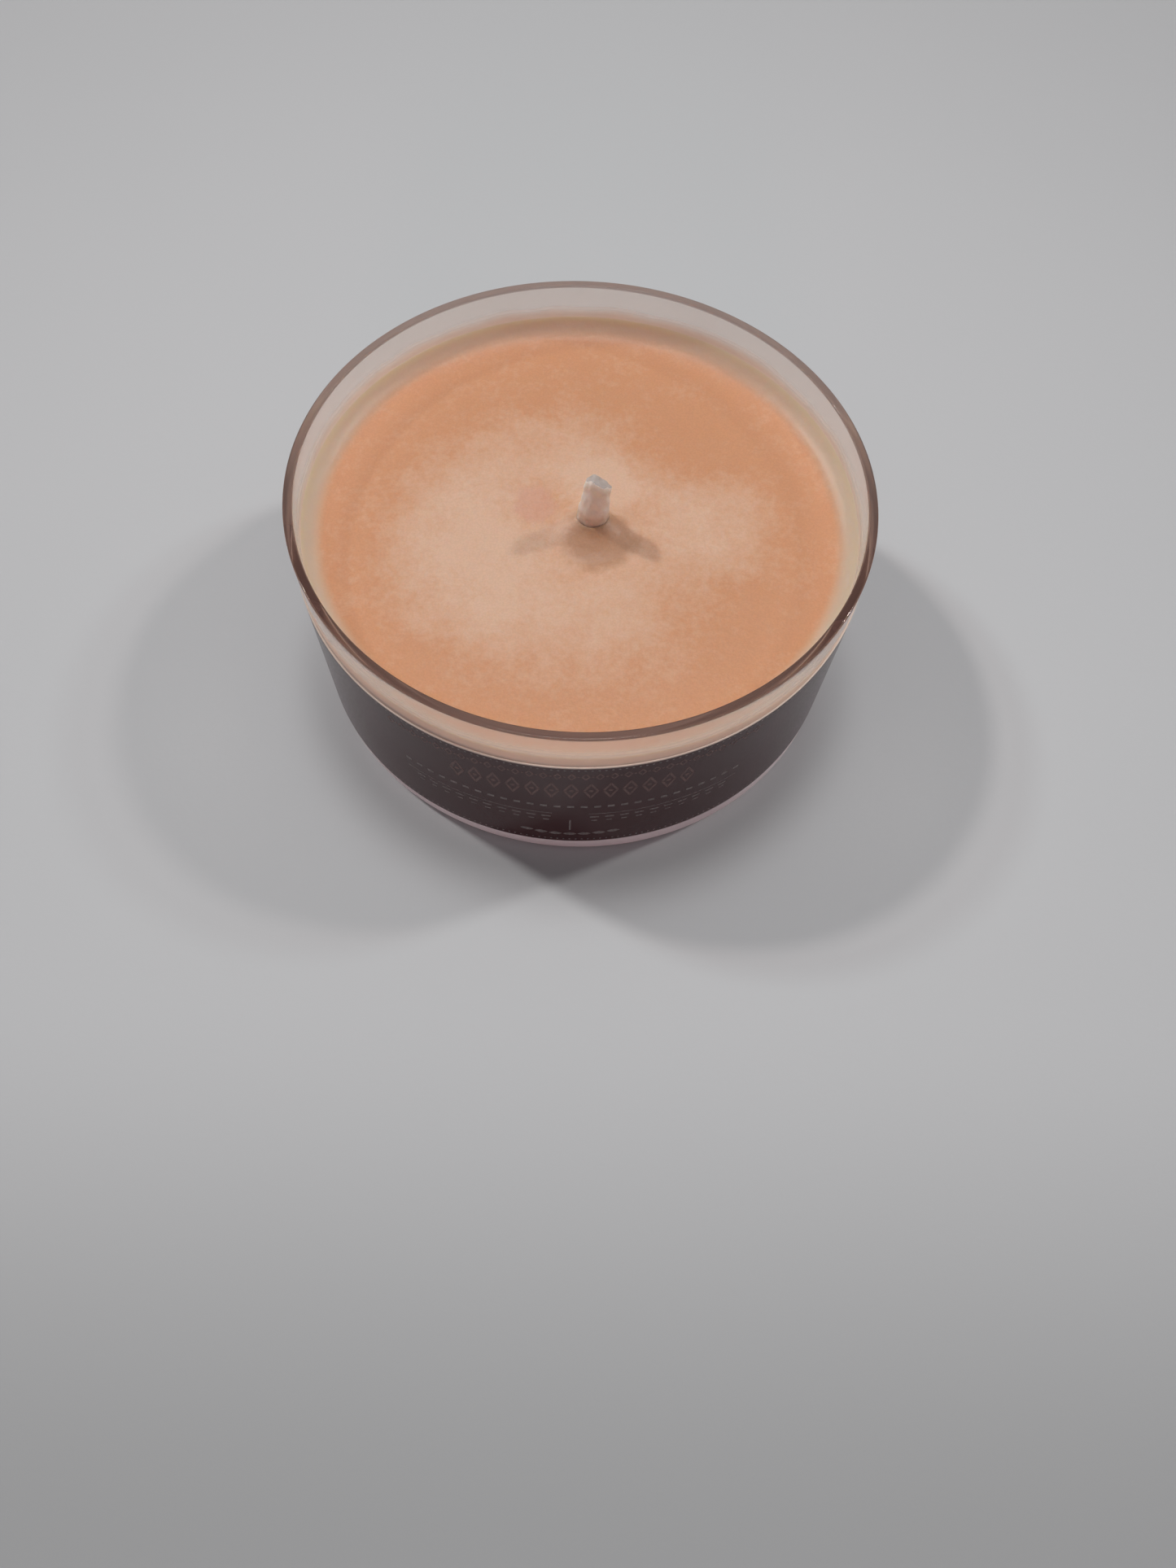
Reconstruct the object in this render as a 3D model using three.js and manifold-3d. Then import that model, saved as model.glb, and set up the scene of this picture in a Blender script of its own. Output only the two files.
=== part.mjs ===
// A small container candle: wax poured into a clear moulded cup, round a wick that stands in a
// stamped metal sustainer, with a printed paper band wrapped round the outside of the cup.
// Millimetres, +Z up. The origin is the centre of the foot, on the surface the cup stands on.
// The wick stands a little off the cup's axis, as it does when it is set by hand.

import * as THREE from "three";
import { mergeVertices } from "three/addons/utils/BufferGeometryUtils.js";
import Module from "manifold-3d";

const wasm = await Module();
wasm.setup();

// Driving dimensions -----------------------------------------------------------------------

const ROUND_STEPS = 72; // facets round every piece that shares the cup's axis
const SMALL_STEPS = 36; // facets round the pieces on the wick's axis
const WICK_STEPS = 18; // facets round the wick itself
const WICK_LEVELS = 10; // sections along the wick
const ARC_STEPS = 4; // sections along each rounded corner
const WALL_STATIONS = [0, 0.15, 0.35, 0.6, 1, 1.6, 2.6]; // places along the wax's creep
const MOUND_STATIONS = [[1, 0], [0.85, 0.07], [0.65, 0.38], [0.45, 0.76]]; // shares of its radius, rise
const GAP = 0.03; // clearance that stands for a bonded or wetted joint
const REACH = 1; // how far a solid runs into the one it is joined to or cut from

const cup = {
  height: 16.3,
  rimRadius: 19.5,
  footRadius: 18.92,
  wall: 0.6,
  floor: 0.7,
  recessDepth: 0.4,
  recessRadius: 16.2,
  recessSlope: 0.5,
  footFillet: 0.45,
  insideFillet: 1.0,
  rimRound: 0.12,
};

const wax = {
  level: 12.4,
  wallClimb: 1.25, // how far the wax creeps up the wall
  wallClimbWidth: 0.6, // distance over which that creep falls to a third
  moundHeight: 0.9, // how far the wax rises against the wick
  moundRadius: 3.5,
};

const band = {
  bottom: 1.6,
  height: 11.2,
  thickness: 0.1,
  crooked: 0.4, // it was put on by hand, this much higher on its +X side and lower on -X
  overlapSteps: 2, // facets that the glued end laps over the start
  seamAngle: THREE.MathUtils.degToRad(125),
};

const wick = {
  x: 0.78,
  y: -0.1,
  radius: 1.1,
  tipRadius: 0.8,
  taperStart: 15,
  top: 17.3,
  lean: 0.3, // sideways drift of the tip, towards +X
  tipSlant: THREE.MathUtils.degToRad(32), // the trimmed end slopes down towards +X
};

const sustainer = {
  sheet: 0.25,
  discRadius: 6.25,
  bossRadius: 3.4,
  bossTopRadius: 2.4,
  bossRise: 0.35,
  collarBore: 1.15,
  collarHeight: 3.2,
};

const sticker = { radius: 5.5, thickness: 0.4 };

const cupFloorTop = cup.recessDepth + cup.floor;
const stickerBottom = cupFloorTop + GAP;
const sustainerBottom = stickerBottom + sticker.thickness + GAP;

// Materials --------------------------------------------------------------------------------

const materials = {
  clearPlastic: new THREE.MeshStandardMaterial({
    color: 0xe8e2de,
    roughness: 0.08,
    metalness: 0,
    transparent: true,
    opacity: 0.35,
  }),
  wax: new THREE.MeshStandardMaterial({ color: 0xd3a07a, roughness: 0.45, metalness: 0 }),
  wick: new THREE.MeshStandardMaterial({ color: 0xcfbfae, roughness: 0.8, metalness: 0 }),
  tinplate: new THREE.MeshStandardMaterial({ color: 0xb8babd, roughness: 0.35, metalness: 1 }),
  foam: new THREE.MeshStandardMaterial({ color: 0xf1eee6, roughness: 0.9, metalness: 0 }),
  printedPaper: new THREE.MeshStandardMaterial({ color: 0x362a2c, roughness: 0.5, metalness: 0 }),
};

// Shared geometry helpers ------------------------------------------------------------------

// Points along an arc in the half-plane of a lathe profile, both ends included.
function arc(centreR, centreZ, radius, fromDegrees, toDegrees, steps) {
  const points = [];
  for (let i = 0; i <= steps; i += 1) {
    const angle = THREE.MathUtils.degToRad(fromDegrees + ((toDegrees - fromDegrees) * i) / steps);
    points.push([centreR + radius * Math.cos(angle), centreZ + radius * Math.sin(angle)]);
  }
  return points;
}

// Turns a profile of [radius, height] points round +Z. The profile runs up the outside.
function turned(profile, steps) {
  const points = profile.map(([r, z]) => new THREE.Vector2(r, z));
  const geometry = new THREE.LatheGeometry(points, steps);
  geometry.rotateX(Math.PI / 2);
  return geometry;
}

// Positions only, with shared vertices merged and collapsed triangles at the poles dropped.
function welded(geometry) {
  const bare = geometry.clone();
  bare.deleteAttribute("normal");
  bare.deleteAttribute("uv");
  const merged = mergeVertices(bare, 1e-5);
  const kept = [];
  const corners = merged.index.array;
  for (let i = 0; i < corners.length; i += 3) {
    const [a, b, c] = [corners[i], corners[i + 1], corners[i + 2]];
    if (a !== b && b !== c && c !== a) kept.push(a, b, c);
  }
  merged.setIndex(kept);
  return merged;
}

function toSolid(geometry) {
  const clean = welded(geometry);
  return new wasm.Manifold(
    new wasm.Mesh({
      numProp: 3,
      vertProperties: new Float32Array(clean.attributes.position.array),
      triVerts: new Uint32Array(clean.index.array),
    }),
  );
}

function fromSolid(solid) {
  const { vertProperties, triVerts } = solid.getMesh();
  const geometry = new THREE.BufferGeometry();
  geometry.setAttribute("position", new THREE.BufferAttribute(vertProperties, 3));
  geometry.setIndex(new THREE.BufferAttribute(triVerts, 1));
  geometry.computeVertexNormals();
  return geometry;
}

function piece(name, geometry, material) {
  const mesh = new THREE.Mesh(geometry, material);
  mesh.name = name;
  return mesh;
}

// Cup --------------------------------------------------------------------------------------

function cupOuterRadius(z) {
  return cup.footRadius + ((cup.rimRadius - cup.footRadius) * z) / cup.height;
}

function cupInnerRadius(z) {
  return cupOuterRadius(z) - cup.wall;
}

// A drafted wall with a rounded lip, standing on a narrow foot ring round a shallow recess.
function cupGeometry() {
  const fillet = cup.footFillet;
  const inside = cup.insideFillet;
  const round = cup.rimRound;
  const insideRadius = cupInnerRadius(cupFloorTop + inside);
  const profile = [
    [0, cup.recessDepth],
    [cup.recessRadius, cup.recessDepth],
    [cup.recessRadius + cup.recessSlope, 0],
    ...arc(cup.footRadius - fillet, fillet, fillet, -90, 0, ARC_STEPS),
    ...arc(cup.rimRadius - round, cup.height - round, round, 0, 90, ARC_STEPS),
    ...arc(cup.rimRadius - cup.wall + round, cup.height - round, round, 90, 180, ARC_STEPS),
    ...arc(insideRadius - inside, cupFloorTop + inside, inside, 0, -90, ARC_STEPS),
    [0, cupFloorTop],
  ];
  return turned(profile, ROUND_STEPS);
}

// Wick, sustainer and sticker --------------------------------------------------------------
// These share the wick's own axis; a group moves them to where the wick stands in the cup.

function wickRadius(z) {
  const along = THREE.MathUtils.clamp((z - wick.taperStart) / (wick.top - wick.taperStart), 0, 1);
  return THREE.MathUtils.lerp(wick.radius, wick.tipRadius, along);
}

// The wick is straight in the wax and drifts sideways above it.
function wickDrift(z) {
  const along = Math.max(0, (z - wax.level) / (wick.top - wax.level));
  return wick.lean * along * along;
}

// A round bar that follows the wick from one height to another, grown by a clearance.
function wickBar(bottom, top, clearance) {
  const profile = [[0, bottom]];
  for (let i = 0; i <= WICK_LEVELS; i += 1) {
    const z = THREE.MathUtils.lerp(bottom, top, i / WICK_LEVELS);
    profile.push([wickRadius(z) + clearance, z]);
  }
  profile.push([0, top]);
  const geometry = turned(profile, WICK_STEPS);
  const position = geometry.attributes.position;
  for (let i = 0; i < position.count; i += 1) {
    position.setX(i, position.getX(i) + wickDrift(position.getZ(i)));
  }
  return geometry;
}

// The bar trimmed on the slant, highest on its -X side.
function wickGeometry() {
  const blockSize = 12;
  const block = new THREE.BoxGeometry(blockSize, blockSize, blockSize);
  block.translate(0, 0, blockSize / 2);
  block.rotateY(wick.tipSlant);
  const slantDrop = wick.tipRadius * Math.tan(wick.tipSlant);
  block.translate(wick.lean, 0, wick.top - slantDrop);
  const bar = wickBar(sustainerBottom, wick.top + slantDrop, 0);
  return fromSolid(toSolid(bar).subtract(toSolid(block)));
}

// A thin disc pressed up into a shallow boss, with a collar that grips the wick.
function sustainerGeometry() {
  const { sheet, discRadius, bossRadius, bossTopRadius, bossRise, collarBore } = sustainer;
  const collarOuter = collarBore + sheet;
  const bottom = sustainerBottom;
  const collarTop = bottom + sustainer.collarHeight;
  const profile = [
    [collarBore, bottom + bossRise],
    [bossTopRadius, bottom + bossRise],
    [bossRadius, bottom],
    [discRadius, bottom],
    [discRadius, bottom + sheet],
    [bossRadius, bottom + sheet],
    [bossTopRadius, bottom + bossRise + sheet],
    [collarOuter, bottom + bossRise + sheet],
    [collarOuter, collarTop],
    [collarBore, collarTop],
    [collarBore, bottom + bossRise],
  ];
  return turned(profile, SMALL_STEPS);
}

function stickerGeometry() {
  const geometry = new THREE.CylinderGeometry(
    sticker.radius,
    sticker.radius,
    sticker.thickness,
    SMALL_STEPS,
  );
  geometry.rotateX(Math.PI / 2);
  geometry.translate(0, 0, stickerBottom + sticker.thickness / 2);
  return geometry;
}

// Wax --------------------------------------------------------------------------------------

// The block of wax: it follows the inside of the cup and creeps up the wall at its edge.
function waxBlock() {
  const inside = cup.insideFillet;
  const bottom = cupFloorTop + GAP;
  const contact = wax.level + wax.wallClimb;
  const filletRadius = cupInnerRadius(bottom + inside) - GAP;
  const edgeRadius = cupInnerRadius(contact) - GAP;
  const profile = [
    [0, bottom],
    ...arc(filletRadius - inside, bottom + inside, inside, -90, 0, ARC_STEPS),
  ];
  for (const fromWall of WALL_STATIONS) {
    const climb = wax.wallClimb * Math.exp(-fromWall / wax.wallClimbWidth);
    profile.push([edgeRadius - fromWall, wax.level + climb]);
  }
  profile.push([0, wax.level]);
  return toSolid(turned(profile, ROUND_STEPS));
}

// The low cone of wax that stands against the wick.
function waxMound() {
  const rise = wax.moundHeight;
  const foot = wax.moundRadius;
  const profile = [
    [0, wax.level - REACH],
    [foot, wax.level - REACH],
    ...MOUND_STATIONS.map(([out, up]) => [foot * out, wax.level + rise * up]),
    [wick.radius, wax.level + rise],
    [0, wax.level + rise],
  ];
  return toSolid(turned(profile, SMALL_STEPS));
}

// The room that the wick, the sustainer and the sticker take up, open at the foot of the wax.
function wickCavity() {
  const below = cupFloorTop - REACH;
  const discFoot = sustainerBottom - GAP;
  const discTop = sustainerBottom + sustainer.sheet + GAP;
  const bossTop = discTop + sustainer.bossRise;
  const collarTop = sustainerBottom + sustainer.collarHeight + GAP;
  const collarRadius = sustainer.collarBore + sustainer.sheet + GAP;
  const profile = [
    [0, below],
    [sticker.radius + GAP, below],
    [sticker.radius + GAP, discFoot],
    [sustainer.discRadius + GAP, discFoot],
    [sustainer.discRadius + GAP, discTop],
    [sustainer.bossRadius + GAP, discTop],
    [sustainer.bossTopRadius + GAP, bossTop],
    [collarRadius, bossTop],
    [collarRadius, collarTop],
    [0, collarTop],
  ];
  const channel = wickBar(cupFloorTop, wick.top, GAP);
  return toSolid(turned(profile, SMALL_STEPS)).add(toSolid(channel));
}

function waxGeometry() {
  const wickPlace = [wick.x, wick.y, 0];
  const poured = waxBlock().add(waxMound().translate(wickPlace));
  return fromSolid(poured.subtract(wickCavity().translate(wickPlace)));
}

// Band -------------------------------------------------------------------------------------

// A strip wrapped once round the drafted wall, its glued end lapping over its start. It is made
// straight, then each point is slid along the wall to where the crooked band really lies.
function bandGeometry() {
  const { bottom, height, thickness, crooked, overlapSteps, seamAngle } = band;
  const step = (2 * Math.PI) / ROUND_STEPS;
  const startStep = Math.round(seamAngle / step);
  const inner = [];
  const outer = [];
  for (let i = 0; i <= ROUND_STEPS + overlapSteps; i += 1) {
    const angle = (startStep + i) * step;
    const lapped = i >= ROUND_STEPS ? thickness + GAP : 0;
    const radius = cupOuterRadius(bottom) + GAP + lapped;
    inner.push(new THREE.Vector2(radius * Math.cos(angle), radius * Math.sin(angle)));
    outer.push(new THREE.Vector2(
      (radius + thickness) * Math.cos(angle),
      (radius + thickness) * Math.sin(angle),
    ));
  }
  const outline = new THREE.Shape([...outer, ...inner.reverse()]);
  const geometry = new THREE.ExtrudeGeometry(outline, { depth: height, bevelEnabled: false });
  const position = geometry.attributes.position;
  for (let i = 0; i < position.count; i += 1) {
    const radius = Math.hypot(position.getX(i), position.getY(i));
    const z = bottom + position.getZ(i) + (crooked * position.getX(i)) / radius;
    const spread = (radius + cupOuterRadius(z) - cupOuterRadius(bottom)) / radius;
    position.setXYZ(i, position.getX(i) * spread, position.getY(i) * spread, z);
  }
  return geometry;
}

// Assembly ---------------------------------------------------------------------------------

const wickAssembly = new THREE.Group();
wickAssembly.position.set(wick.x, wick.y, 0);
wickAssembly.add(piece("wick_sticker", stickerGeometry(), materials.foam));
wickAssembly.add(piece("wick_sustainer", sustainerGeometry(), materials.tinplate));
wickAssembly.add(piece("wick", wickGeometry(), materials.wick));

const candle = new THREE.Group();
candle.add(piece("cup", cupGeometry(), materials.clearPlastic));
candle.add(piece("wax_fill", waxGeometry(), materials.wax));
candle.add(wickAssembly);
candle.add(piece("wrap_label", bandGeometry(), materials.printedPaper));

export default candle;
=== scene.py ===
"""The looks of a small poured candle in a clear cup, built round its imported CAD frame.

Shapes are worked out in millimetres and become metres when their object is made.
+Z is up along the cup's axis, and the side the label faces is -Y.
"""

import math

import bmesh
import bpy
from mathutils import Matrix, Vector, noise


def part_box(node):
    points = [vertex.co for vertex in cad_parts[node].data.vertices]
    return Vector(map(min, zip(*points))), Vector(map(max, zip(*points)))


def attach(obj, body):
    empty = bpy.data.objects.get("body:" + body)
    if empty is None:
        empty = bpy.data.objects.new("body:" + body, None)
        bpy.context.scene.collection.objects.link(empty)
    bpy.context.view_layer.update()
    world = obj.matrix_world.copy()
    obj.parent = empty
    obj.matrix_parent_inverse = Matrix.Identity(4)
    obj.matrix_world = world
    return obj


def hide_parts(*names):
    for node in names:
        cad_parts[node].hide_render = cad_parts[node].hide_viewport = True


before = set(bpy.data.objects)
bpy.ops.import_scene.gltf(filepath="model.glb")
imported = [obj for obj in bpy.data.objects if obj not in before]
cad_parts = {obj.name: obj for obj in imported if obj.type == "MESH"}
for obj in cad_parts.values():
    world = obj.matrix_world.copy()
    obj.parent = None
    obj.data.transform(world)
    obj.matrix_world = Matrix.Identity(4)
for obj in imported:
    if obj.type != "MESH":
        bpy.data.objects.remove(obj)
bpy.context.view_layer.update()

MM = 0.001
TURN = 2 * math.pi


# Places taken from the CAD, in millimetres ---------------------------------------------------


def corners(node):
    """Lowest and highest corner of a CAD node, in millimetres."""
    low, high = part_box(node)
    return low / MM, high / MM


cup_high = corners("cup")[1]
band_low, band_high = corners("wrap_label")
wick_high = corners("wick")[1]
disc_low, disc_high = corners("wick_sustainer")
dot_low, dot_high = corners("wick_sticker")
wax_high = corners("wax_fill")[1]

RIM_RADIUS = cup_high.x
CUP_HEIGHT = cup_high.z
FOOT_RADIUS = RIM_RADIUS - 0.58
WALL = 0.6
RECESS_DEPTH = 0.4
RECESS_RADIUS = 16.2
FLOOR_TOP = RECESS_DEPTH + 0.7
INSIDE_FILLET = 1.0
FOOT_FILLET = 0.45
RIM_ROUND = 0.1
BITE = 0.02  # how far wetted or glued faces reach into the plastic, so that no air shows

WAX_LEVEL = 12.4
CONTACT = wax_high.z
CLIMB = CONTACT - WAX_LEVEL
CLIMB_WIDTH = 0.6
MOUND_HEIGHT = 0.9
MOUND_RADIUS = 3.5

AXIS = Vector(((dot_low.x + dot_high.x) / 2, (dot_low.y + dot_high.y) / 2))
WICK_RADIUS = 1.1
WICK_TIP_RADIUS = 0.85
WICK_LEAN = 0.32
WICK_TOP = wick_high.z
PLAIT = 0.06  # how far the strands stand out
PLAIT_PITCH = 2.4
FUZZ = 0.08
TIP_SLANT = math.tan(math.radians(32))

GAP = 0.03  # room left round the pieces cast into the wax
SHEET = 0.25  # the sustainer's sheet
BOSS_RISE = 0.35
BOSS_INNER = 2.4
BOSS_OUTER = 3.4
COLLAR_BORE = 1.15
DISC_RADIUS = (disc_high.x - disc_low.x) / 2
DOT_RADIUS = (dot_high.x - dot_low.x) / 2


def outer_radius(z):
    """Radius of the cup's outer wall at a height."""
    return FOOT_RADIUS + (RIM_RADIUS - FOOT_RADIUS) * z / CUP_HEIGHT


def inner_radius(z):
    return outer_radius(z) - WALL


def smooth(value):
    """0 to 1 with soft ends."""
    value = min(max(value, 0.0), 1.0)
    return value * value * (3 - 2 * value)


# Mesh helpers ---------------------------------------------------------------------------------


class Shape:
    """Points in millimetres and faces with their material index, gathered for one object."""

    def __init__(self):
        self.points = []
        self.faces = []
        self.slots = []

    def add(self, points, faces, slot=0):
        first = len(self.points)
        self.points.extend(points)
        self.faces.extend([first + i for i in face] for face in faces)
        self.slots.extend([slot] * len(faces))

    def build(self, name, materials, sharp=40):
        mesh = bpy.data.meshes.new(name)
        mesh.from_pydata([[c * MM for c in p] for p in self.points], [], self.faces)
        for material in materials:
            mesh.materials.append(material)
        mesh.polygons.foreach_set("material_index", self.slots)
        work = bmesh.new()
        work.from_mesh(mesh)
        bmesh.ops.remove_doubles(work, verts=work.verts, dist=2e-7)
        bmesh.ops.recalc_face_normals(work, faces=work.faces)
        work.to_mesh(mesh)
        work.free()
        mesh.shade_smooth()
        mesh.set_sharp_from_angle(angle=math.radians(sharp))
        made = bpy.data.objects.new(name, mesh)
        bpy.context.scene.collection.objects.link(made)
        return made


def arc(centre_r, centre_z, radius, start, end, steps):
    """Points along an arc in a lathe profile, both ends included, angles in degrees."""
    angles = [math.radians(start + (end - start) * i / steps) for i in range(steps + 1)]
    return [(centre_r + radius * math.cos(a), centre_z + radius * math.sin(a)) for a in angles]


def spread(start, end, steps):
    """Evenly spaced values from start towards end, leaving the end out."""
    return [start + (end - start) * i / steps for i in range(steps)]


def line(start, end, steps):
    """Points from start towards end, leaving the end out."""
    return list(zip(spread(start[0], end[0], steps), spread(start[1], end[1], steps)))


def loft_faces(rings, steps, closed=True):
    """Quads between successive rings of points; a closed loft joins its last ring to its first."""
    faces = []
    for ring in range(rings if closed else rings - 1):
        low = ring * steps
        high = (ring + 1) % rings * steps
        for i in range(steps):
            j = (i + 1) % steps
            faces.append((low + i, low + j, high + j, high + i))
    return faces


def turned(profile, steps, centre=(0, 0), closed=False):
    """Points and faces of a profile turned round a vertical axis."""
    points = []
    for radius, z in profile:
        for i in range(steps):
            angle = TURN * i / steps
            x = centre[0] + radius * math.cos(angle)
            y = centre[1] + radius * math.sin(angle)
            points.append((x, y, z))
    return points, loft_faces(len(profile), steps, closed)


# Node helpers ---------------------------------------------------------------------------------


class Tree:
    """A material's node tree, with short calls for adding nodes and joining them."""

    def __init__(self, name):
        self.material = bpy.data.materials.new(name)
        self.material.use_nodes = True
        self.tree = self.material.node_tree
        self.tree.nodes.clear()

    def add(self, kind, inputs=(), **settings):
        node = self.tree.nodes.new("ShaderNode" + kind)
        for key, value in settings.items():
            setattr(node, key, value)
        for key, value in dict(inputs).items():
            if isinstance(value, bpy.types.NodeSocket):
                self.tree.links.new(value, node.inputs[key])
            else:
                node.inputs[key].default_value = value
        return node

    def maths(self, operation, first, second=0.0, clamp=False):
        node = self.add("Math", {0: first, 1: second}, operation=operation, use_clamp=clamp)
        return node.outputs[0]

    def place(self):
        """The surface point in millimetres."""
        where = self.add("TexCoord").outputs["Object"]
        scaled = self.add("VectorMath", {0: where, "Scale": 1 / MM}, operation="SCALE")
        return scaled.outputs[0]

    def noise(self, place, scale, detail=3.0, roughness=0.55):
        inputs = {"Vector": place, "Scale": scale, "Detail": detail, "Roughness": roughness}
        return self.add("TexNoise", inputs).outputs["Fac"]

    def span(self, value, low, high, to_low=0.0, to_high=1.0):
        """The value carried softly from one range to another, and held beyond its ends."""
        inputs = {"Value": value, "From Min": low, "From Max": high}
        inputs.update({"To Min": to_low, "To Max": to_high})
        return self.add("MapRange", inputs, interpolation_type="SMOOTHSTEP").outputs[0]

    def away_from(self, place, centre, half):
        """Distance from an upright oval column, 1 on its surface."""
        inputs = {"Vector": place, "Location": (*centre, 0), "Scale": (*half, 1000)}
        moved = self.add("Mapping", inputs, vector_type="TEXTURE").outputs[0]
        return self.add("VectorMath", {0: moved}, operation="LENGTH").outputs["Value"]

    def mix(self, factor, first, second, blend="MIX"):
        node = self.add("Mix", data_type="RGBA", blend_type=blend)
        for index, value in ((0, factor), (6, first), (7, second)):
            if isinstance(value, bpy.types.NodeSocket):
                self.tree.links.new(value, node.inputs[index])
            else:
                node.inputs[index].default_value = value
        return node.outputs[2]

    def bump(self, height, distance):
        """A normal for relief this high, in metres."""
        return self.add("Bump", {"Height": height, "Distance": distance}).outputs[0]

    def finish(self, surface, **others):
        self.add("OutputMaterial", {"Surface": surface, **others})
        return self.material


def colour(red, green, blue):
    return (red, green, blue, 1.0)


# Materials ------------------------------------------------------------------------------------


def clear_plastic():
    """Clear moulded plastic: faint flow waves, a hazy foot that also stands in for light carried
    along the clear plastic, a greasy bloom above the wax, a lip painted dull brown at the front
    with the band and wax seen down the wall and paler at the back with a painted reflection, and a
    warm tint that builds up edge-on."""
    t = Tree("clear_moulded_plastic")
    place = t.place()
    waves = t.noise(place, 0.22, 2.0)
    scuffs = t.noise(place, 6.0, 4.0, 0.7)
    body = t.add("BsdfPrincipled", {
        "Base Color": t.mix(waves, colour(0.96, 0.95, 0.93), colour(0.98, 0.97, 0.955)),
        "Roughness": t.span(scuffs, 0.35, 0.75, 0.03, 0.06),
        "IOR": 1.58,
        "Transmission Weight": 1.0,
        "Normal": t.bump(waves, 0.00002),
    })
    parts = t.add("SeparateXYZ", {0: place})
    height = parts.outputs["Z"]
    uneven = t.maths("ADD", height, t.span(waves, 0.3, 0.7, -0.12, 0.12))
    film = t.span(uneven, CONTACT - 0.2, CONTACT + 1.0, 0.75, 0.16)
    above = t.span(height, CONTACT - 1.2, CONTACT - 0.4)
    # The foot's strong haze is partly real haze and partly stands in for light carried along the
    # clear plastic into the foot.
    foot = t.span(height, 1.3, 1.9, 0.97, 0.0)
    lip = t.span(height, CUP_HEIGHT - 0.2, CUP_HEIGHT - 0.1)
    haze = t.maths("ADD", foot, t.maths("MULTIPLY", film, above))
    haze = t.maths("ADD", haze, t.span(lip, 0, 1, 0, 0.5), clamp=True)
    bloom = t.mix(above, colour(0.98, 0.93, 0.94), colour(0.9, 0.75, 0.64))
    bloom = t.mix(t.span(uneven, CONTACT, CONTACT + 1.0), bloom, colour(1.0, 0.95, 0.87))
    # The lip is painted: dull dark brown at the front, standing in for the band and wax seen down
    # the clear wall, and paler at the back as a painted reflection.
    edge = t.span(parts.outputs["Y"], -8, 19)
    edge = t.mix(edge, colour(0.23, 0.13, 0.11), colour(0.46, 0.39, 0.37))
    bloom = t.mix(lip, bloom, edge)
    front = t.add("BsdfDiffuse", {"Color": bloom})
    behind = t.add("BsdfTranslucent", {"Color": bloom})
    through = t.span(height, 1.9, CONTACT - 1.2, 0.05, 0.55)
    glow = t.add("MixShader", {0: through, 1: front.outputs[0], 2: behind.outputs[0]})
    hazy = t.add("MixShader", {0: haze, 1: body.outputs[0], 2: glow.outputs[0]})
    shade = t.mix(lip, colour(0.86, 0.85, 0.85), colour(0.78, 0.76, 0.76))
    clear = t.add("BsdfTransparent", {"Color": shade})
    shadow = t.add("LightPath").outputs["Is Shadow Ray"]
    mixed = t.add("MixShader", {0: shadow, 1: hazy.outputs[0], 2: clear.outputs[0]})
    tint = t.add("VolumeAbsorption", {"Color": colour(0.66, 0.42, 0.35), "Density": 150.0})
    return t.finish(mixed.outputs[0], Volume=tint.outputs[0])


WAX_AREAS = (
    # centre x, centre y, half width, half depth, paleness added: how the wax has set
    (-0.4, -1.1, 12.6, 11.4, 0.62),
    (-7.8, -2.8, 5.4, 8.0, 0.42),
    (-3.4, 6.8, 6.0, 2.8, 0.14),
    (9.4, 0.6, 4.0, 4.6, 0.3),
    (-1.0, -8.2, 6.6, 3.4, 0.16),
    (1.4, 3.6, 2.6, 3.0, 0.5),
    (7.0, 7.2, 4.4, 4.0, -0.28),
    (9.0, -7.0, 5.0, 4.0, -0.2),
    (-3.6, 1.6, 2.4, 1.9, -0.28),
)
WAX_STAIN_AND_SHADE = (
    # centre x, centre y, half width, half depth, strength, colour: painted shade in front of the
    # wick, where the mound's front slope and the wick's shadow fall, and a reddish smudge in the
    # wax
    (1.2, -1.8, 2.7, 2.1, 0.85, (0.47, 0.245, 0.135)),
    (-3.4, 1.7, 1.9, 1.5, 0.5, (0.65, 0.345, 0.26)),
)


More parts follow.
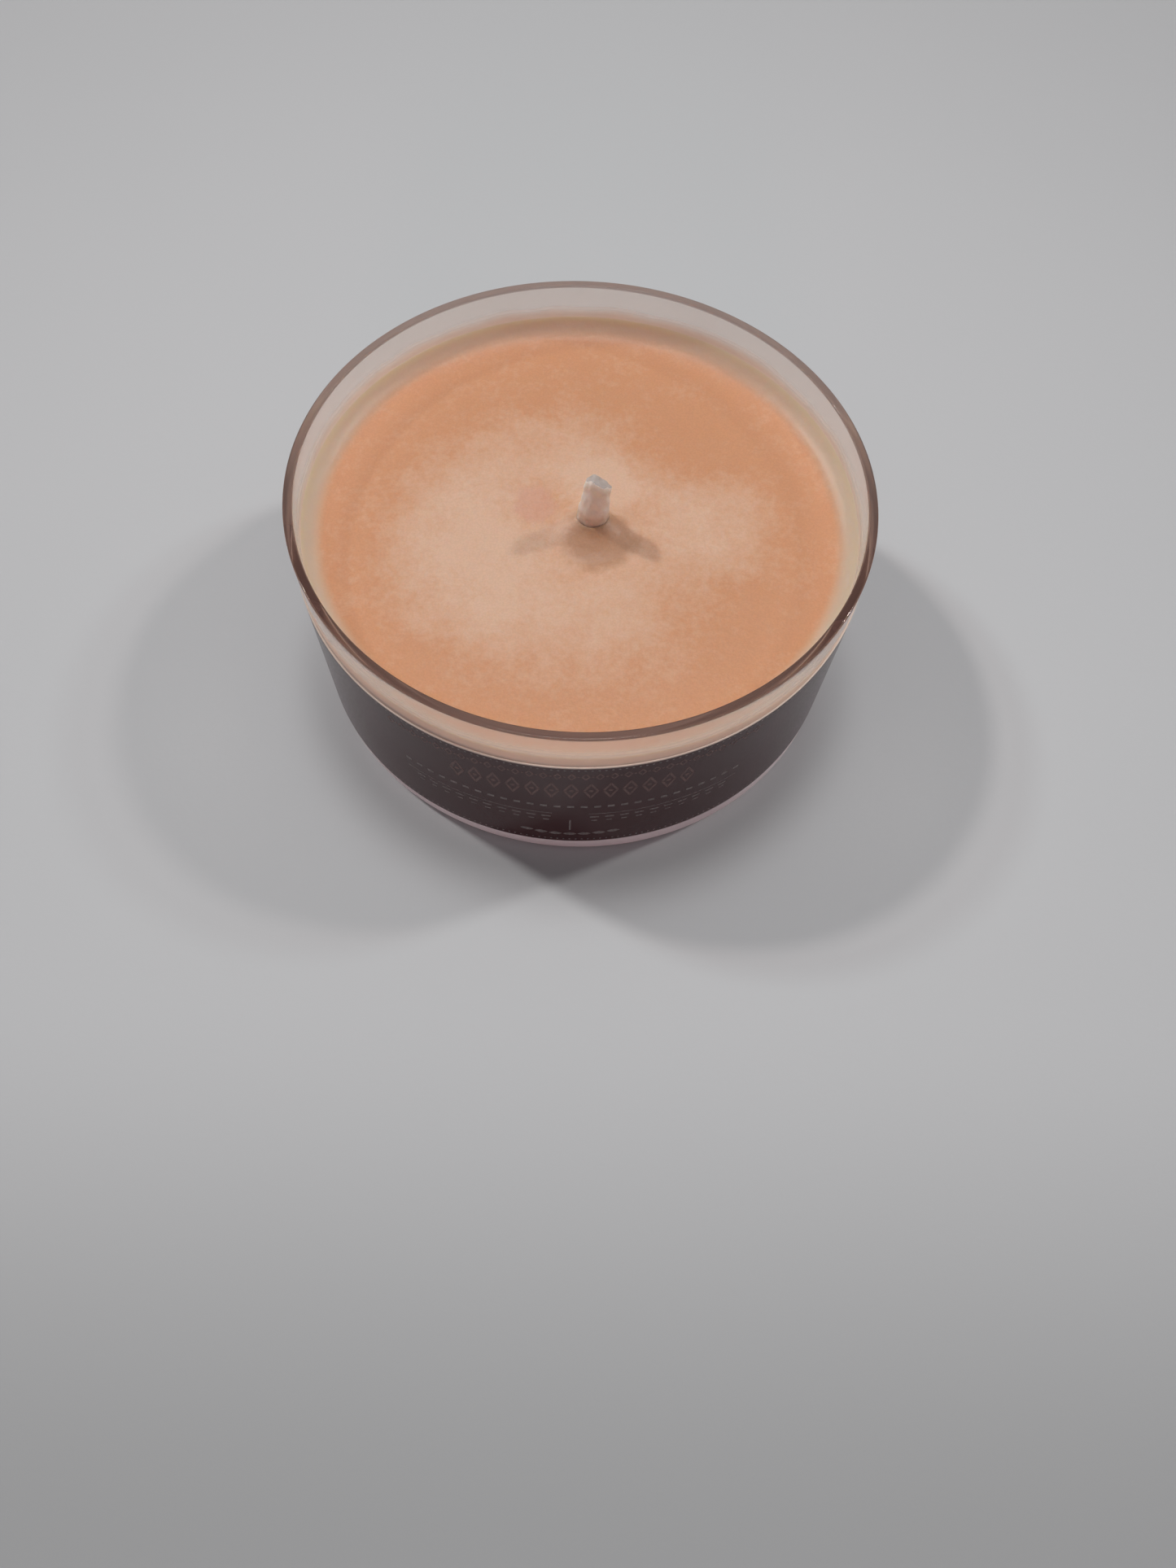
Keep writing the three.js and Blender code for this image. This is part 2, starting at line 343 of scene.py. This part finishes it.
def poured_wax():
    """Satin wax with paler, mottled areas where it cooled slowly, a thin pale creep, painted shade
    in front of the wick and a reddish smudge beside it.
    """
    t = Tree("poured_wax")
    place = t.place()
    warp = t.add("TexNoise", {"Vector": place, "Scale": 0.35, "Detail": 4.0, "Roughness": 0.6})
    centred = t.add("VectorMath", {0: warp.outputs["Color"], 1: (0.5, 0.5, 0.5)},
                    operation="SUBTRACT")
    push = t.add("VectorMath", {0: centred.outputs[0], "Scale": 3.5}, operation="SCALE")
    warped = t.add("VectorMath", {0: place, 1: push.outputs[0]}, operation="ADD").outputs[0]
    pale = t.span(t.noise(place, 0.5, 3.0), 0.3, 0.7, -0.12, 0.12)
    for x, y, wide, deep, strength in WAX_AREAS:
        away = t.away_from(warped, (x, y), (wide, deep))
        pale = t.maths("ADD", pale, t.span(away, 1.3, 0.5, 0.0, strength))
    grain = t.noise(place, 2.2, 4.0, 0.65)
    mottle = t.span(grain, 0.3, 0.7, -0.15, 0.15)
    pale = t.maths("ADD", pale, mottle, clamp=True)
    base = t.mix(pale, colour(0.63, 0.308, 0.165), colour(0.715, 0.465, 0.33))
    # Painted shade in front of the wick, and a reddish smudge in the wax.
    for x, y, wide, deep, strength, tone in WAX_STAIN_AND_SHADE:
        near = t.away_from(warped, (x, y), (wide, deep))
        base = t.mix(t.span(near, 1.15, 0.6, 0.0, strength), base, colour(*tone))
    speck = t.span(t.noise(place, 7.0, 2.0, 0.5), 0.35, 0.65, 0.97, 1.03)
    base = t.mix(1.0, base, t.add("CombineColor", {0: speck, 1: speck, 2: speck}).outputs[0],
                 "MULTIPLY")
    flat = t.add("VectorMath", {0: place, 1: (1, 1, 0)}, operation="MULTIPLY").outputs[0]
    radius = t.add("VectorMath", {0: flat}, operation="LENGTH").outputs["Value"]
    back = t.add("SeparateXYZ", {0: place}).outputs["Y"]
    reach = t.maths("SUBTRACT", radius, t.span(back, 3, 14, 0.0, 0.15))
    thin = t.span(reach, inner_radius(CONTACT) - 1.5, inner_radius(CONTACT) - 0.1)
    base = t.mix(thin, base, colour(0.65, 0.55, 0.43))
    grainy = t.maths("ADD", t.noise(place, 1.2, 3.0), t.maths("MULTIPLY", grain, 0.35))
    body = t.add("BsdfPrincipled", {
        "Base Color": base,
        "Roughness": t.span(grain, 0.3, 0.7, 0.38, 0.5),
        "IOR": 1.44,
        "Subsurface Weight": 0.45,
        "Subsurface Radius": (1.0, 0.5, 0.25),
        "Subsurface Scale": 0.0012,
        "Normal": t.bump(grainy, 0.00004),
    })
    return t.finish(body.outputs[0])


def waxed_cotton(name, low, high):
    """Braided cotton soaked in wax: dull, with fibre grain and a slightly darker foot."""
    t = Tree(name)
    place = t.place()
    height = t.add("SeparateXYZ", {0: place}).outputs["Z"]
    fibres = t.noise(place, 5.0, 4.0, 0.7)
    dry = t.mix(fibres, low, high)
    soaked = t.mix(fibres, colour(0.68, 0.5, 0.37), colour(0.78, 0.6, 0.46))
    rise = t.span(height, WAX_LEVEL + 0.6, WAX_LEVEL + 2.4)
    body = t.add("BsdfPrincipled", {
        "Base Color": t.mix(rise, soaked, dry),
        "Roughness": t.span(fibres, 0.3, 0.7, 0.55, 0.75),
        "Subsurface Weight": 0.7,
        "Subsurface Radius": (1.0, 0.8, 0.65),
        "Subsurface Scale": 0.0011,
        "Normal": t.bump(fibres, 0.00003),
    })
    return t.finish(body.outputs[0])


def paper_print():
    """The band's dark printed face: varnished ink over a fine paper grain."""
    t = Tree("printed_band")
    place = t.place()
    grain = t.noise(place, 5.0, 4.0, 0.7)
    tone = t.noise(place, 0.3, 2.0)
    dark = t.mix(tone, colour(0.058, 0.023, 0.0245), colour(0.07, 0.0275, 0.029))
    body = t.add("BsdfPrincipled", {
        "Base Color": dark,
        "Roughness": t.span(grain, 0.3, 0.7, 0.15, 0.24),
        "IOR": 1.3,
        "Normal": t.bump(grain, 0.000003),
    })
    return t.finish(body.outputs[0])


def paper_stock():
    """Uncoated paper, where the band's cut edge and back show."""
    t = Tree("paper_stock")
    grain = t.noise(t.place(), 9.0, 4.0, 0.7)
    body = t.add("BsdfPrincipled", {
        "Base Color": t.mix(grain, colour(0.6, 0.53, 0.47), colour(0.7, 0.62, 0.55)),
        "Roughness": 0.85,
        "Normal": t.bump(grain, 0.00001),
    })
    return t.finish(body.outputs[0])


def ink(name, low, high):
    """A thin printed ink with small gaps of tone, as a worn or finely screened print has."""
    t = Tree(name)
    screen = t.noise(t.place(), 6.0, 3.0, 0.7)
    body = t.add("BsdfPrincipled", {
        "Base Color": t.mix(t.span(screen, 0.35, 0.65), low, high),
        "Roughness": 0.42,
        "IOR": 1.5,
    })
    return t.finish(body.outputs[0])


def stamped_steel():
    """Tin-plated steel with the fine lines of its rolled sheet."""
    t = Tree("stamped_steel")
    place = t.place()
    stretched = t.add("Mapping", {"Vector": place, "Scale": (0.6, 14.0, 1.0)})
    lines = t.noise(stretched.outputs[0], 1.5, 3.0, 0.6)
    body = t.add("BsdfPrincipled", {
        "Base Color": t.mix(lines, colour(0.55, 0.55, 0.56), colour(0.68, 0.68, 0.69)),
        "Metallic": 1.0,
        "Roughness": t.span(lines, 0.3, 0.7, 0.25, 0.42),
        "Normal": t.bump(lines, 0.000004),
    })
    return t.finish(body.outputs[0])


def foam():
    """White closed-cell foam."""
    t = Tree("adhesive_foam")
    cells = t.add("TexVoronoi", {"Vector": t.place(), "Scale": 4.5}).outputs["Distance"]
    body = t.add("BsdfPrincipled", {
        "Base Color": t.mix(cells, colour(0.7, 0.68, 0.62), colour(0.82, 0.8, 0.75)),
        "Roughness": 0.8,
        "Normal": t.bump(cells, 0.00003),
    })
    return t.finish(body.outputs[0])


def table_paint():
    """A plain pale surface with barely any texture, and painted shade that darkens it towards the
    front, where less light reaches the floor near the camera.
    """
    t = Tree("pale_surface")
    place = t.place()
    broad = t.noise(place, 0.02, 2.0)
    fine = t.noise(place, 1.5, 3.0, 0.6)
    paint = t.mix(broad, colour(0.555, 0.562, 0.575), colour(0.575, 0.58, 0.592))
    front = t.add("SeparateXYZ", {0: place}).outputs["Y"]
    # Painted shade: the floor darkens towards the front, near the camera.
    body = t.add("BsdfPrincipled", {
        "Base Color": t.mix(t.span(front, -30, -62, 0.0, 0.7), paint, colour(0.32, 0.325, 0.33)),
        "Roughness": 0.9,
        "Specular IOR Level": 0.2,
        "Normal": t.bump(fine, 0.00001),
    })
    return t.finish(body.outputs[0])


# Cup ------------------------------------------------------------------------------------------


def make_cup():
    """A drafted wall with a rounded lip, standing on a foot ring round a shallow recess."""
    fillet_z = FLOOR_TOP + INSIDE_FILLET
    inside = inner_radius(fillet_z)
    lip_z = CUP_HEIGHT - RIM_ROUND
    profile = line((0, RECESS_DEPTH), (RECESS_RADIUS, RECESS_DEPTH), 12)
    profile += line((RECESS_RADIUS, RECESS_DEPTH), (RECESS_RADIUS + 0.5, 0), 3)
    profile += arc(FOOT_RADIUS - FOOT_FILLET, FOOT_FILLET, FOOT_FILLET, -90, 0, 10)[:-1]
    profile += line((outer_radius(FOOT_FILLET), FOOT_FILLET), (outer_radius(lip_z), lip_z), 24)
    profile += arc(outer_radius(lip_z) - RIM_ROUND, lip_z, RIM_ROUND, 0, 90, 8)
    profile += arc(inner_radius(lip_z) + RIM_ROUND, lip_z, RIM_ROUND, 90, 180, 8)
    profile += line((inner_radius(lip_z), lip_z), (inside, fillet_z), 24)[1:]
    profile += arc(inside - INSIDE_FILLET, fillet_z, INSIDE_FILLET, 0, -90, 10)
    profile += line((inside - INSIDE_FILLET, FLOOR_TOP), (0, FLOOR_TOP), 12)[1:]
    profile.append((0, FLOOR_TOP))
    shape = Shape()
    shape.add(*turned(profile, 240))
    return shape.build("clear_cup", [clear_plastic()])


# Wax ------------------------------------------------------------------------------------------


def wax_height(x, y):
    """Height of the wax's free surface: level, creeping up the wall and the wick."""
    from_wall = max(inner_radius(CONTACT) - math.hypot(x, y), 0.0)
    from_wick = math.hypot(x - AXIS.x, y - AXIS.y)
    out = min(max((from_wick - WICK_RADIUS) / (MOUND_RADIUS - WICK_RADIUS), 0.0), 1.0)
    mound = MOUND_HEIGHT * (1 - out) ** 1.5
    climb = CLIMB * math.exp(-from_wall / CLIMB_WIDTH)
    swell = 0.05 * noise.noise(Vector((x * 0.16, y * 0.16, 3.1)))
    ripple = 0.018 * noise.noise(Vector((x * 0.8, y * 0.8, 7.7)))
    settle = smooth(from_wall / 2)
    return WAX_LEVEL + climb + mound + (swell + ripple) * settle


def wax_ring(radius, steps):
    """A ring of points, centred on the wick when small and on the cup when near the wall."""
    round_wick, round_cup = 6.5, 15.5
    centre = AXIS * (1 - smooth((radius - round_wick) / (round_cup - round_wick)))
    angles = [TURN * i / steps for i in range(steps)]
    return [(centre.x + radius * math.cos(a), centre.y + radius * math.sin(a)) for a in angles]


def make_wax(steps=240):
    """The poured block, hollow where the sticker, the sustainer and the wick sit in it."""
    collar = COLLAR_BORE + SHEET + GAP
    collar_top = disc_high.z + GAP
    grip = WICK_RADIUS - 0.05
    disc_top = disc_low.z + SHEET + GAP
    disc_foot = disc_low.z - GAP
    bottom = FLOOR_TOP - BITE
    rings = [
        (grip, collar_top),
        (collar, collar_top),
        (collar, disc_top + BOSS_RISE),
        (BOSS_INNER + GAP, disc_top + BOSS_RISE),
        (BOSS_OUTER + GAP, disc_top),
        (DISC_RADIUS + GAP, disc_top),
        (DISC_RADIUS + GAP, disc_foot),
        (DOT_RADIUS + GAP, disc_foot),
        (DOT_RADIUS + GAP, bottom),
        (9.0, bottom),
        (13.0, bottom),
    ]
    fillet_z = FLOOR_TOP + INSIDE_FILLET
    inside = inner_radius(fillet_z) - INSIDE_FILLET
    rings += arc(inside, fillet_z, INSIDE_FILLET + BITE, -90, 0, 8)
    side = 24
    for i in range(1, side + 1):
        z = fillet_z + (CONTACT - fillet_z) * i / side
        rings.append((inner_radius(z) + BITE, z))
    points = []
    for radius, z in rings:
        points += [(x, y, z) for x, y in wax_ring(radius, steps)]
    edge = inner_radius(CONTACT)
    creep = edge - 2.4
    mound = 4.5
    stations = spread(edge, creep, 30) + spread(creep, mound, 46) + spread(mound, grip, 34)
    stations.append(grip)
    for radius in stations:
        points += [(x, y, wax_height(x, y)) for x, y in wax_ring(radius, steps)]
    shape = Shape()
    shape.add(points, loft_faces(len(rings) + len(stations), steps))
    return shape.build("poured_wax", [poured_wax()])


# Wick, sustainer and sticker ------------------------------------------------------------------


def wick_point(angle, z, shrink=1.0):
    """A point on the braided wick, which thins and drifts sideways above the wax."""
    above = max(0.0, (z - WAX_LEVEL) / (WICK_TOP - WAX_LEVEL))
    radius = WICK_RADIUS + (WICK_TIP_RADIUS - WICK_RADIUS) * smooth(above * 1.2 - 0.1)
    twist = z * TURN / PLAIT_PITCH
    plait = math.cos(2 * angle + twist) * math.cos(2 * angle - twist)
    fuzz = noise.noise(Vector((2.2 * math.cos(angle), 2.2 * math.sin(angle), z * 1.3)))
    radius = (radius + PLAIT * plait + FUZZ * fuzz) * shrink
    x = AXIS.x + WICK_LEAN * above * above + radius * math.cos(angle)
    y = AXIS.y + 0.88 * radius * math.sin(angle)
    return x, y


def wick_end(x, y):
    """Height of the cut end: a crest at the front left, falling away to the right and behind."""
    right = x - AXIS.x + 0.1
    behind = y - AXIS.y + 0.5
    crest = 0.12 * noise.noise(Vector((x * 2.3, y * 2.3, 0.4)))
    fall = TIP_SLANT * max(right, 0.0) + 0.5 * max(-right, 0.0) + 0.55 * max(behind, 0.0)
    return min(WICK_TOP, WICK_TOP - 0.06 + crest - fall)


def make_wick(steps=72):
    """A loft whose rings tilt gradually from level at the wax to the slanted cut."""
    foot = disc_low.z
    heights = spread(foot, WAX_LEVEL, 20) + spread(WAX_LEVEL, WICK_TOP, 70) + [WICK_TOP]
    closing = (0.95, 0.85, 0.7, 0.5, 0.25, 0.0)
    rings = [(z, 1.0) for z in heights] + [(WICK_TOP, shrink) for shrink in closing]
    points = [(AXIS.x, AXIS.y, foot)] * steps
    for z, shrink in rings:
        share = max(0.0, (z - WAX_LEVEL) / (WICK_TOP - WAX_LEVEL))
        for i in range(steps):
            x, y = wick_point(TURN * i / steps, z, shrink)
            rise = share * (wick_end(x, y) - WAX_LEVEL)
            points.append((x, y, WAX_LEVEL + rise if share > 0 else z))
    faces = loft_faces(len(rings) + 1, steps, closed=False)
    shape = Shape()
    shape.add(points, faces)
    cut = steps * len(closing)
    shape.slots[-cut:] = [1] * cut
    pale = waxed_cotton("waxed_cotton", colour(0.82, 0.77, 0.72), colour(0.92, 0.87, 0.82))
    # The cut end is painted dark as shade, so that the upturned cut does not show as a lit cap.
    ends = waxed_cotton("cut_cotton_painted_shade", colour(0.4, 0.34, 0.31), colour(0.5, 0.44, 0.41))
    return shape.build("braided_wick", [pale, ends], sharp=80)


def make_sustainer():
    """A thin disc pressed up into a shallow boss, with a collar that grips the wick."""
    foot = disc_low.z
    top = foot + SHEET
    collar = COLLAR_BORE + SHEET
    bend = 0.15
    soft = 0.05
    profile = [
        (COLLAR_BORE, foot + BOSS_RISE),
        (BOSS_INNER, foot + BOSS_RISE),
        (BOSS_OUTER, foot),
        (DISC_RADIUS - soft, foot),
        (DISC_RADIUS, foot + soft),
        (DISC_RADIUS, top - soft),
        (DISC_RADIUS - soft, top),
        (BOSS_OUTER, top),
        (BOSS_INNER, top + BOSS_RISE),
        (collar + bend, top + BOSS_RISE),
        (collar, top + BOSS_RISE + bend),
        (collar, disc_high.z - soft),
        (collar - soft, disc_high.z),
        (COLLAR_BORE, disc_high.z),
    ]
    shape = Shape()
    shape.add(*turned(profile, 96, AXIS, closed=True))
    return shape.build("stamped_sustainer", [stamped_steel()])


def make_sticker():
    """A round foam dot with slightly soft edges."""
    low, high = dot_low.z, dot_high.z
    soft = 0.08
    profile = [(0, low)]
    profile += arc(DOT_RADIUS - soft, low + soft, soft, -90, 0, 4)
    profile += arc(DOT_RADIUS - soft, high - soft, soft, 0, 90, 4)
    profile.append((0, high))
    shape = Shape()
    shape.add(*turned(profile, 96, AXIS))
    return shape.build("foam_dot", [foam()])


# Printed band ---------------------------------------------------------------------------------

PAPER = 0.1  # thickness
MARGIN = 0.12  # unprinted edge along the top
CROOKED = 0.4  # it was put on by hand, this much higher on its +X side and lower on -X
BAND_TOP = band_high.z - CROOKED
BAND_LOW = band_low.z + CROOKED
SEAM = math.radians(125)
LAP = math.radians(9)
PRINT_GAP = 0.01  # between the short lengths of a bar
BEAD_PITCH = 0.42
SMALL_PITCH = 0.88
LARGE_PITCH = 1.25
PRINT, STOCK, COPPER, GREY = range(4)


def on_band(angle, below, lift):
    """A point of the crooked band: its angle round the cup, depth below its top edge, and lift
    off the printed face."""
    z = BAND_TOP - below + CROOKED * math.cos(angle)
    radius = outer_radius(z) + PAPER - BITE + lift
    return radius * math.cos(angle), radius * math.sin(angle), z


def make_band_strip(shape, count=360):
    """The strip, wrapped once from the seam, its glued end lapping over its start."""
    height = BAND_TOP - BAND_LOW
    rows = ((height, 0), (MARGIN, 0), (0, 0), (0, -PAPER), (height, -PAPER))
    points = []
    for i in range(count + 1):
        angle = SEAM + (TURN + LAP) * i / count
        lap = (PAPER + 0.01) * smooth((angle - SEAM - TURN + 0.03) / 0.03)
        points += [on_band(angle, below, depth + lap) for below, depth in rows]
    width = len(rows)
    faces = [tuple(range(width)), tuple(count * width + k for k in range(width))]
    slots = [STOCK, STOCK]
    for i in range(count):
        for row in range(width):
            a = i * width + row
            b = i * width + (row + 1) % width
            faces.append((a, b, b + width, a + width))
            slots.append(PRINT if row == 0 else STOCK)
    shape.add(points, faces)
    shape.slots[-len(slots):] = slots


def print_mark(shape, outline, slot, thickness=0.006):
    """A thin layer of ink. The outline is (distance along the band, distance below its top)."""
    points = []
    for lift in (thickness, -PAPER / 4):
        for along, below in outline:
            angle = -math.pi / 2 + along / outer_radius(BAND_TOP - below)
            points.append(on_band(angle, below, lift))
    n = len(outline)
    faces = [tuple(range(n)), tuple(range(2 * n - 1, n - 1, -1))]
    for i in range(n):
        j = (i + 1) % n
        faces.append((i, n + i, n + j, j))
    shape.add(points, faces, slot)


def bead(shape, along, below, radius, slot):
    outline = []
    for i in range(8):
        angle = TURN * i / 8
        outline.append((along + radius * math.cos(angle), below + radius * math.sin(angle)))
    print_mark(shape, outline, slot)


def dash(shape, along, below, wide, tall, slot):
    """A bar, cut into short lengths so that it follows the band round."""
    parts = max(1, math.ceil(wide / 0.5))
    for i in range(parts):
        start = along - wide / 2 + wide * i / parts
        end = start + wide / parts - PRINT_GAP
        top, foot = below - tall / 2, below + tall / 2
        print_mark(shape, [(start, top), (start, foot), (end, foot), (end, top)], slot)


def open_lozenge(shape, along, below, wide, tall, stroke, slot):
    """A lozenge drawn as four strokes, which stop just short of each other."""
    corner = [(0, -tall / 2), (wide / 2, 0), (0, tall / 2), (-wide / 2, 0)]
    shrink = 1 - 2 * stroke / wide
    short = 0.03
    for i in range(4):
        (ax, ay), (bx, by) = corner[i], corner[(i + 1) % 4]
        x0, y0 = ax + short * (bx - ax), ay + short * (by - ay)
        x1, y1 = bx - short * (bx - ax), by - short * (by - ay)
        outline = [(x0, y0), (x1, y1), (x1 * shrink, y1 * shrink), (x0 * shrink, y0 * shrink)]
        print_mark(shape, [(along + x, below + y) for x, y in outline], slot)


def leaf(shape, along, below, wide, tall, slot):
    """A pointed oval."""
    outline = []
    for i in range(12):
        angle = TURN * i / 12
        across = math.sin(angle) * abs(math.sin(angle)) * tall / 2
        outline.append((along + math.cos(angle) * wide / 2, below + across))
    print_mark(shape, outline, slot)


def make_band():
    """The band with its ornament: beads, two friezes of lozenges, dashes, rules and leaves."""
    shape = Shape()
    make_band_strip(shape)
    for i in range(-60, 61):
        bead(shape, i * BEAD_PITCH, 0.36, 0.08, GREY)
        bead(shape, i * BEAD_PITCH, 10.85, 0.07, GREY)
    for i in range(-14, 15):
        open_lozenge(shape, i * SMALL_PITCH, 1.2, 0.6, 0.9, 0.12, COPPER)
        bead(shape, (i + 0.5) * SMALL_PITCH, 1.2, 0.09, COPPER)
    for i in range(-6, 7):
        open_lozenge(shape, i * LARGE_PITCH, 3.2, 1.05, 2.3, 0.17, COPPER)
        bead(shape, i * LARGE_PITCH, 3.2, 0.16, COPPER)
    for i in range(-13, 14):
        dash(shape, i * SMALL_PITCH, 5.6, 0.46, 0.26, GREY)
    for side in (-1, 1):
        dash(shape, side * 6.4, 6.7, 10.4, 0.07, GREY)
        for i in range(10):
            dash(shape, side * (1.6 + i * 1.0), 7.2, 0.62, 0.16, GREY)
            dash(shape, side * (1.6 + i * 1.0), 7.75, 0.4, 0.14, GREY)
    dash(shape, 0, 8.5, 0.13, 1.6, GREY)
    for i in range(-3, 4):
        leaf(shape, i * 0.98, 9.95 - 0.03 * i * i, 0.92, 0.42, GREY)
    inks = [
        paper_print(),
        paper_stock(),
        ink("copper_ink", colour(0.09, 0.042, 0.036), colour(0.2, 0.11, 0.095)),
        ink("grey_ink", colour(0.1, 0.08, 0.08), colour(0.28, 0.25, 0.24)),
    ]
    return shape.build("printed_band", inks)


# Set, light and camera ------------------------------------------------------------------------


def make_table():
    """A wide level surface at the height of the cup's foot."""
    half = 1500.0
    cells = 12
    shape = Shape()
    points = []
    for i in range(cells + 1):
        for j in range(cells + 1):
            points.append((-half + 2 * half * i / cells, -half + 2 * half * j / cells, 0.0))
    faces = []
    for i in range(cells):
        for j in range(cells):
            a = i * (cells + 1) + j
            b = a + cells + 1
            faces.append((a, b, b + 1, a + 1))
    shape.add(points, faces)
    table = shape.build("table", [table_paint()])


def add_lamp(name, azimuth, elevation, distance, size, power, tint=(1, 1, 1), cone=None):
    """A soft round lamp at a compass angle, counted from +X towards +Y. With a cone it is a
    spotlight that looks at the candle and fades towards its edge."""
    lamp = bpy.data.lights.new(name, "SPOT" if cone else "POINT")
    if cone:
        lamp.spot_size = math.radians(cone)
        lamp.spot_blend = 1.0
    lamp.shadow_soft_size = size
    lamp.energy = power
    lamp.color = tint
    made = bpy.data.objects.new(name, lamp)
    turn, rise = math.radians(azimuth), math.radians(elevation)
    way = Vector((math.cos(rise) * math.cos(turn), math.cos(rise) * math.sin(turn), math.sin(rise)))
    made.location = way * distance
    made.rotation_euler = way.to_track_quat("Z", "Y").to_euler()
    made.visible_camera = False
    bpy.context.scene.collection.objects.link(made)


def make_light():
    """Two small lamps high behind the candle, a soft one over it, a low fill and a dim sky."""
    add_lamp("lamp_right", 22.7, 40.7, 1.0, 0.04, 9.6, (1.0, 0.99, 0.97))
    add_lamp("lamp_left", 151.2, 45.0, 1.0, 0.04, 13.8, (1.0, 0.99, 0.97))
    add_lamp("over_head", 90, 78, 0.5, 0.08, 3.2, cone=34)
    add_lamp("low_fill", -90, 12, 1.3, 0.2, 12.0, (1.0, 0.48, 0.52), cone=16)
    make_sky()


def make_sky():
    """A plain sky, dim and slightly warm near the horizon and brighter overhead."""
    world = bpy.data.worlds.new("studio")
    world.use_nodes = True
    tree = world.node_tree
    way = tree.nodes.new("ShaderNodeTexCoord").outputs["Generated"]
    parts = tree.nodes.new("ShaderNodeSeparateXYZ")
    ramp = tree.nodes.new("ShaderNodeMapRange")
    ramp.interpolation_type = "SMOOTHSTEP"
    ramp.inputs["From Min"].default_value = 0.35
    ramp.inputs["From Max"].default_value = 0.95
    blend = tree.nodes.new("ShaderNodeMix")
    blend.data_type = "RGBA"
    blend.inputs[6].default_value = (0.11, 0.085, 0.087, 1)
    blend.inputs[7].default_value = (0.2, 0.22, 0.225, 1)
    tree.links.new(way, parts.inputs[0])
    tree.links.new(parts.outputs["Z"], ramp.inputs["Value"])
    tree.links.new(ramp.outputs[0], blend.inputs[0])
    tree.links.new(blend.outputs[2], tree.nodes["Background"].inputs["Color"])
    bpy.context.scene.world = world


def make_camera():
    """A hand-held wide view from the front, looking steeply down, with a slight roll."""
    place = Vector((0, -53.64, 75.56))
    down = math.radians(62.14)
    yaw = math.radians(-1.72)
    roll = math.radians(3.61)
    lens = bpy.data.cameras.new("camera")
    lens.sensor_fit = "VERTICAL"
    lens.sensor_height = 36.0
    lens.lens = 27.03
    lens.clip_start = 0.002
    lens.clip_end = 20.0
    made = bpy.data.objects.new("camera", lens)
    pitch = Matrix.Rotation(math.pi / 2 - down, 4, "X")
    aim = Matrix.Rotation(yaw, 4, "Z") @ pitch @ Matrix.Rotation(roll, 4, "Z")
    made.matrix_world = Matrix.Translation(place * MM) @ aim
    bpy.context.scene.collection.objects.link(made)
    bpy.context.scene.camera = made


# Assembly -------------------------------------------------------------------------------------

PIECES = (
    (make_cup, "cup", "clear_cup"),
    (make_wax, "wax_fill", "wax"),
    (make_wick, "wick", "wick"),
    (make_sustainer, "wick_sustainer", "sustainer_metal"),
    (make_sticker, "wick_sticker", "sticker_foam"),
    (make_band, "wrap_label", "label_print"),
)

make_camera()
make_light()
make_table()
for make, node, slot in PIECES:
    piece = make()
    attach(piece, "root")
    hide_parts(node)

bpy.context.scene.view_settings.view_transform = "Standard"
